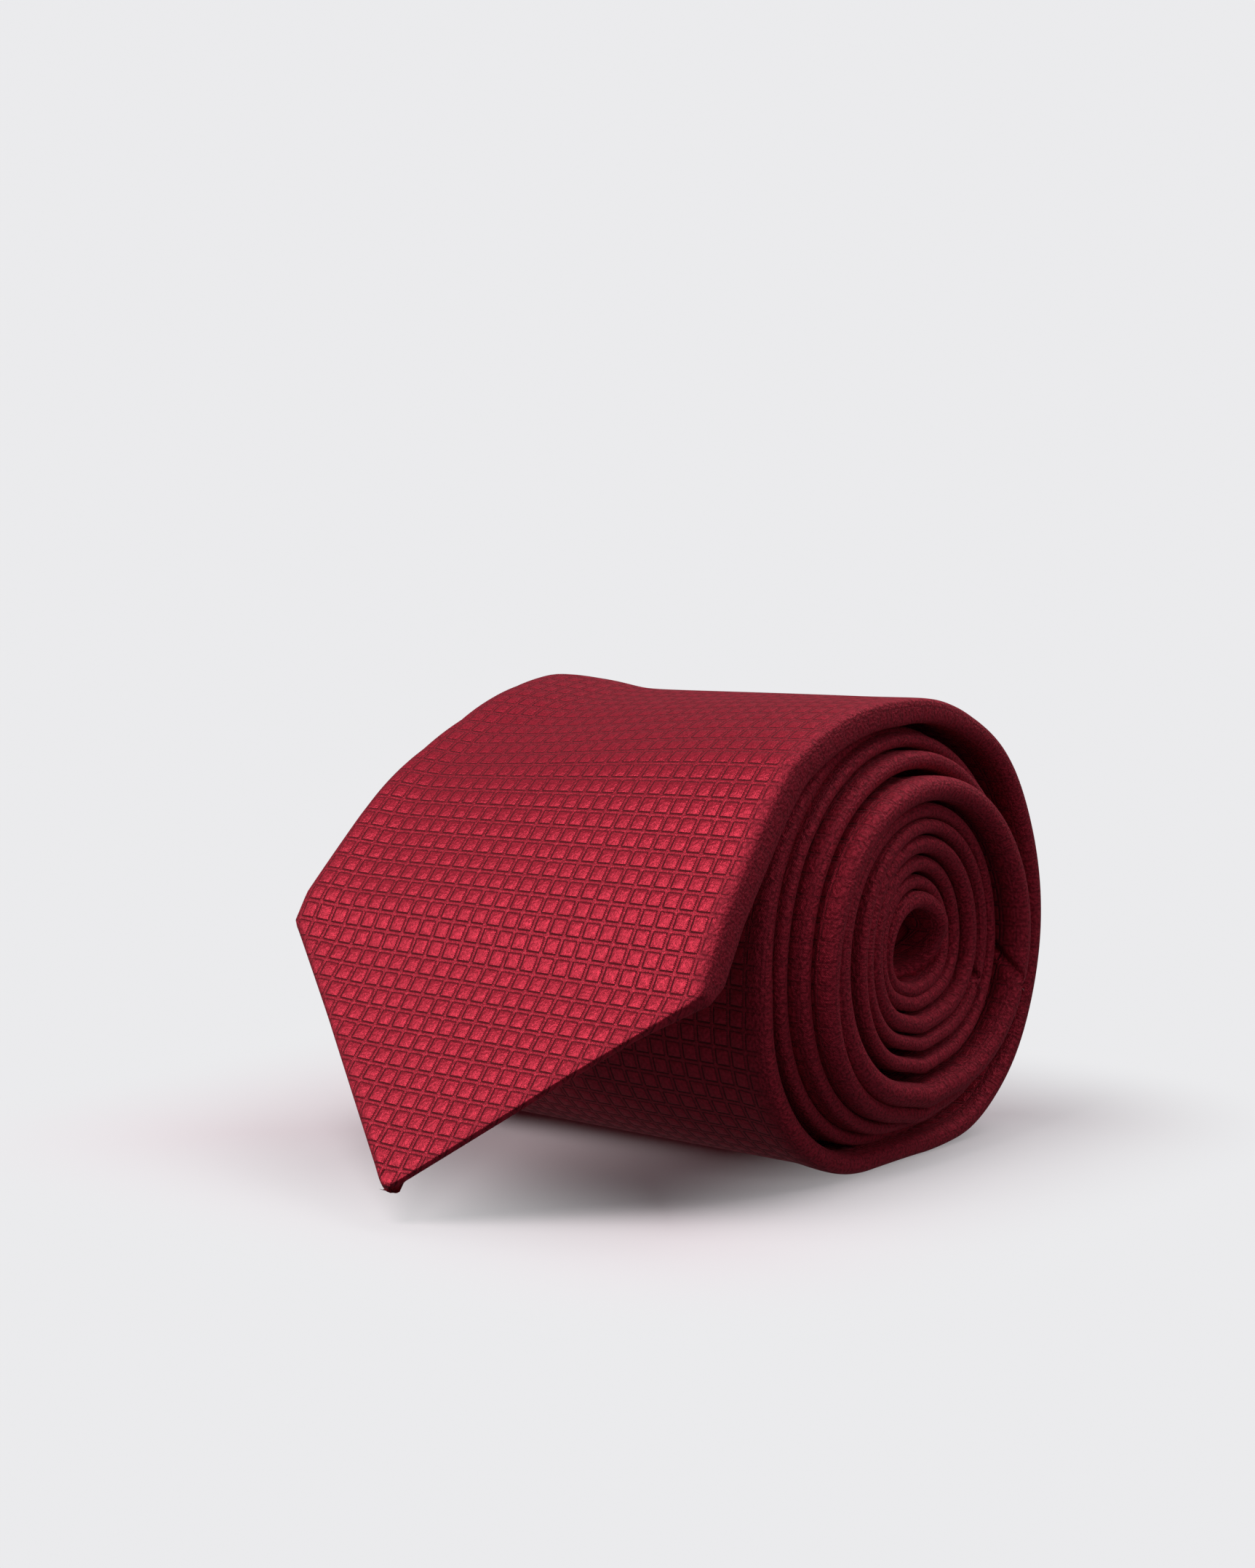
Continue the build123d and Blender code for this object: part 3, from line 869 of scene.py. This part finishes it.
WOOL_THICK = 1.4
WOOL_COLUMNS = 14
WOOL_INSET = 3.4  # from the fold to the wool's edge
WOOL_POINT_INSET = 3.0  # further in than that behind the blade's point


def wool_row(s):
    """The points round the wool at s: along its front from low x to high x, and back along its back."""
    low, high = (float(edge) for edge in edges_of(s))
    inset = min(WOOL_INSET + WOOL_POINT_INSET * float(1 - ramp(s, 42, 60)), 0.4 * (high - low))
    x = np.linspace(low + inset, high - inset, WOOL_COLUMNS)
    x = np.concatenate([x, x[::-1]])
    d = np.repeat([WOOL_THICK / 2, -WOOL_THICK / 2], WOOL_COLUMNS)
    return place(np.full_like(x, s), x, d), np.stack([x / CELL, np.full_like(x, s / CELL)], -1)


def make_interlining():
    rows = np.concatenate([steps(3.5, 12.0, 1.0), steps(14.0, LENGTH - 6.0, 2.5)])
    points, coords = zip(*[wool_row(s) for s in rows])
    count = 2 * WOOL_COLUMNS
    faces = []
    for row in range(len(rows) - 1):
        i = row * count
        for j in range(count):
            k = (j + 1) % count
            faces.append([i + j, i + k, i + count + k, i + count + j])
    last = (len(rows) - 1) * count
    end_faces = [[c, c + 1, count - 2 - c, count - 1 - c] for c in range(WOOL_COLUMNS - 1)]
    faces += [face[::-1] for face in end_faces]
    faces += [[last + i for i in face] for face in end_faces]
    obj = mesh_object("wool_interlining", points, faces, WOOL, coords)
    bend_at_hinge(obj)
    declare(obj, "interlining", "interlining", "blade_end_interlining")


KEEPER_HALF, KEEPER_LEG, KEEPER_LIFT = 24.0, 3.0, 0.8  # half its length, its sewn ends, how far it stands off
KEEPER_FROM, KEEPER_TO = 309.0, 327.0  # degrees round the outer turn
KEEPER_D = BACK - 0.8


def keeper_span():
    """s of the keeper's two edges."""
    rear_s = [s for s, angle in route.marks if angle == 0][-1]
    return [rear_s + under(LAST) * math.radians(360 - angle) for angle in (KEEPER_TO, KEEPER_FROM)]


def make_keeper():
    """The loop on the back of the blade: a folded band of the shell cloth, sewn down at both ends."""
    first, last = keeper_span()
    x0 = float(middle(first))
    offsets = np.linspace(-KEEPER_HALF - KEEPER_LEG, KEEPER_HALF + KEEPER_LEG, 61)
    across = np.linspace(0, 1, 15)
    there = first + (last - first) * across
    round_s = np.concatenate([there, there[::-1]])
    fold = np.sqrt(np.clip(1 - (2 * across - 1) ** 8, 0, 1)) * 0.3
    round_d = np.concatenate([-fold, fold[::-1]])
    points, coords = [], []
    for x in offsets:
        lift = KEEPER_LIFT * ramp(KEEPER_HALF + 1.5 - abs(x), 0.0, 4.0)
        points.append(place(round_s, np.full_like(round_s, x0 + x), KEEPER_D - lift + round_d))
        coords.append(np.stack([round_s / CELL, np.full_like(round_s, x / CELL)], -1))
    obj = mesh_object("keeper_band", points, grid_faces(len(offsets), len(round_s)), SHELL_CLOTH, coords)
    declare(obj, "shell", "keeper_loop", body="roll")


def make_keeper_stitches():
    first, last = keeper_span()
    ends = []
    for side in (-1, 1):
        x = float(middle(first)) + side * (KEEPER_HALF + KEEPER_LEG / 2)
        for s in steps(first + 0.8, last - 0.8, 0.7):
            ends.append(((s, x - 0.7, KEEPER_D - 0.35), (s + 0.3, x + 0.7, KEEPER_D - 0.35), 0.08))
    declare(stitches("keeper_threads", ends, 0.13), "thread", "keeper_stitches", body="roll")


def make_seam_stitches(name, node, at):
    """The stitches along a slanting seam between two lengths of the shell, on its front."""
    ends = []
    half = float(width(at)) / 2
    d = THICK / 2 - 0.28
    for u in steps(-half + 0.5, half - 0.5, 1.1):
        s0 = at - SEAM_SLOPE * u - 0.35
        s1 = at - SEAM_SLOPE * (u + 0.5) + 0.35
        ends.append(((s0, float(middle(s0)) + u, d), (s1, float(middle(s1)) + u + 0.5, d), 0.0))
    declare(stitches(name, ends, 0.11), "thread", node, body="roll")


make_blade()
make_neck()
make_tail()
make_blade_lining()
make_lining_stitches()
make_tack("blade_tack_threads", "blade_bar_tack", BLADE_OPENING - 0.1, "blade_end")
make_tack("tail_tack_threads", "tail_bar_tack", TAIL_OPENING - 0.8, "roll")
make_slip_stitch()
make_interlining()
make_tail_lining()
make_keeper()
make_keeper_stitches()
make_seam_stitches("blade_neck_stitches", "blade_neck_seam", BLADE_SEAM)
make_seam_stitches("neck_tail_stitches", "neck_tail_seam", NECK_SEAM)


# ---- stage, light and camera, in metres ----
BACKDROP = (0.83, 0.83, 0.845)
# the floor's pale colour, tinted pink as painted red light bounced from the tie
FLOOR_WITH_PAINTED_BOUNCE = (0.83, 0.73, 0.775)
LIT_HALF = 0.045  # half of the square of floor round the tie that takes light
LIT_X, LIT_Y = -0.012, 0.012  # its middle
FADE_FROM, FADE_TO = -0.022, 0.052  # distances from its edge over which the floor fades to the backdrop
WORLD_COLOUR, WORLD_STRENGTH = (0.93, 0.96, 1.0), 0.10
AIM = Vector((0, 0, 0.035))  # what the lights point at
LIGHTS = (
    # name, direction from the tie, distance, size, watts, colour
    ("key", (-0.60, -0.66, 0.47), 1.0, 0.6, 5.8, (1.0, 0.985, 0.97)),
    ("back", (0.2, 0.6, 0.8), 1.0, 0.9, 4.7, (1.0, 1.0, 1.0)),
    ("front", (0.0, -0.62, 0.78), 0.30, 0.16, 0.44, (1.0, 0.98, 0.97)),
    ("side", (0.9, -0.3, 0.3), 1.0, 0.5, 1.5, (1.0, 0.97, 0.97)),
)
CAMERA_AZIMUTH, CAMERA_ELEVATION, CAMERA_DISTANCE = math.radians(39.0), math.radians(5.9), 0.424
CAMERA_RIGHT, CAMERA_UP = -0.0048, 0.0235  # from CAMERA_AIM, in the picture's own directions
CAMERA_AIM = Vector((0, 0.00584, 0.035))
SENSOR_WIDTH = 36.0
FOCAL_WIDTHS = 2.0869565  # the focal length, in widths of the picture


def make_floor():
    """A floor that takes light and shadow round the tie, and further out glows evenly like the backdrop."""
    bpy.ops.mesh.primitive_plane_add(size=30)
    floor = bpy.context.object
    floor.name = "floor"
    n = Nodes("pale_floor")
    # the pale floor, with its pink tint of painted bounce light from the tie
    n.shader.inputs["Base Color"].default_value = (*FLOOR_WITH_PAINTED_BOUNCE, 1)
    n.shader.inputs["Roughness"].default_value = 0.9
    n.shader.inputs["Specular IOR Level"].default_value = 0.1
    glow = n.add("ShaderNodeEmission")
    glow.inputs[0].default_value = (*BACKDROP, 1)
    at = n.add("ShaderNodeSeparateXYZ", n.add("ShaderNodeNewGeometry").outputs["Position"])
    x = n.math("ABSOLUTE", n.math("SUBTRACT", at.outputs[0], LIT_X))
    y = n.math("ABSOLUTE", n.math("SUBTRACT", at.outputs[1], LIT_Y))
    away = n.box_distance(x, y, LIT_HALF, LIT_HALF, 0.0)
    fade = n.add("ShaderNodeMapRange", away, FADE_FROM, FADE_TO, 0.0, 1.0, interpolation_type="SMOOTHSTEP")
    mixed = n.add("ShaderNodeMixShader", fade.outputs[0], n.shader.outputs[0], glow.outputs[0])
    output = next(node for node in n.tree.nodes if node.type == "OUTPUT_MATERIAL")
    n.tree.links.new(mixed.outputs[0], output.inputs[0])
    floor.data.materials.append(n.material)
    floor.visible_diffuse = False
    floor.visible_glossy = False


def make_world():
    """The camera sees the plain backdrop, and the tie is lit by a weaker, cooler room."""
    world = bpy.data.worlds.new("room")
    bpy.context.scene.world = world
    world.use_nodes = True
    nodes, links = world.node_tree.nodes, world.node_tree.links
    nodes.clear()
    seen = nodes.new("ShaderNodeBackground")
    seen.inputs[0].default_value = (*BACKDROP, 1)
    lit = nodes.new("ShaderNodeBackground")
    lit.inputs[0].default_value = (*WORLD_COLOUR, 1)
    lit.inputs[1].default_value = WORLD_STRENGTH
    path = nodes.new("ShaderNodeLightPath")
    mix = nodes.new("ShaderNodeMixShader")
    output = nodes.new("ShaderNodeOutputWorld")
    links.new(path.outputs["Is Camera Ray"], mix.inputs[0])
    links.new(lit.outputs[0], mix.inputs[1])
    links.new(seen.outputs[0], mix.inputs[2])
    links.new(mix.outputs[0], output.inputs[0])


def make_light(name, direction, distance, size, power, colour):
    lamp = bpy.data.lights.new(name, "AREA")
    lamp.shape = "DISK"
    lamp.size = size
    lamp.energy = power
    lamp.color = colour
    obj = bpy.data.objects.new(name, lamp)
    bpy.context.collection.objects.link(obj)
    obj.location = AIM + Vector(direction).normalized() * distance
    obj.rotation_euler = (AIM - obj.location).to_track_quat("-Z", "Y").to_euler()


def make_camera():
    level = math.cos(CAMERA_ELEVATION)
    forward = Vector((
        -math.sin(CAMERA_AZIMUTH) * level,
        math.cos(CAMERA_AZIMUTH) * level,
        -math.sin(CAMERA_ELEVATION),
    ))
    right = Vector((math.cos(CAMERA_AZIMUTH), math.sin(CAMERA_AZIMUTH), 0))
    up = right.cross(forward)
    target = CAMERA_AIM + right * CAMERA_RIGHT + up * CAMERA_UP
    data = bpy.data.cameras.new("camera")
    data.sensor_fit = "HORIZONTAL"
    data.sensor_width = SENSOR_WIDTH
    data.lens = SENSOR_WIDTH * FOCAL_WIDTHS
    data.clip_start = 0.01
    camera = bpy.data.objects.new("camera", data)
    bpy.context.collection.objects.link(camera)
    camera.location = target - forward * CAMERA_DISTANCE
    camera.rotation_euler = forward.to_track_quat("-Z", "Y").to_euler()
    bpy.context.scene.camera = camera


make_floor()
make_world()
for light in LIGHTS:
    make_light(*light)
make_camera()
bpy.context.scene.view_settings.view_transform = "Standard"
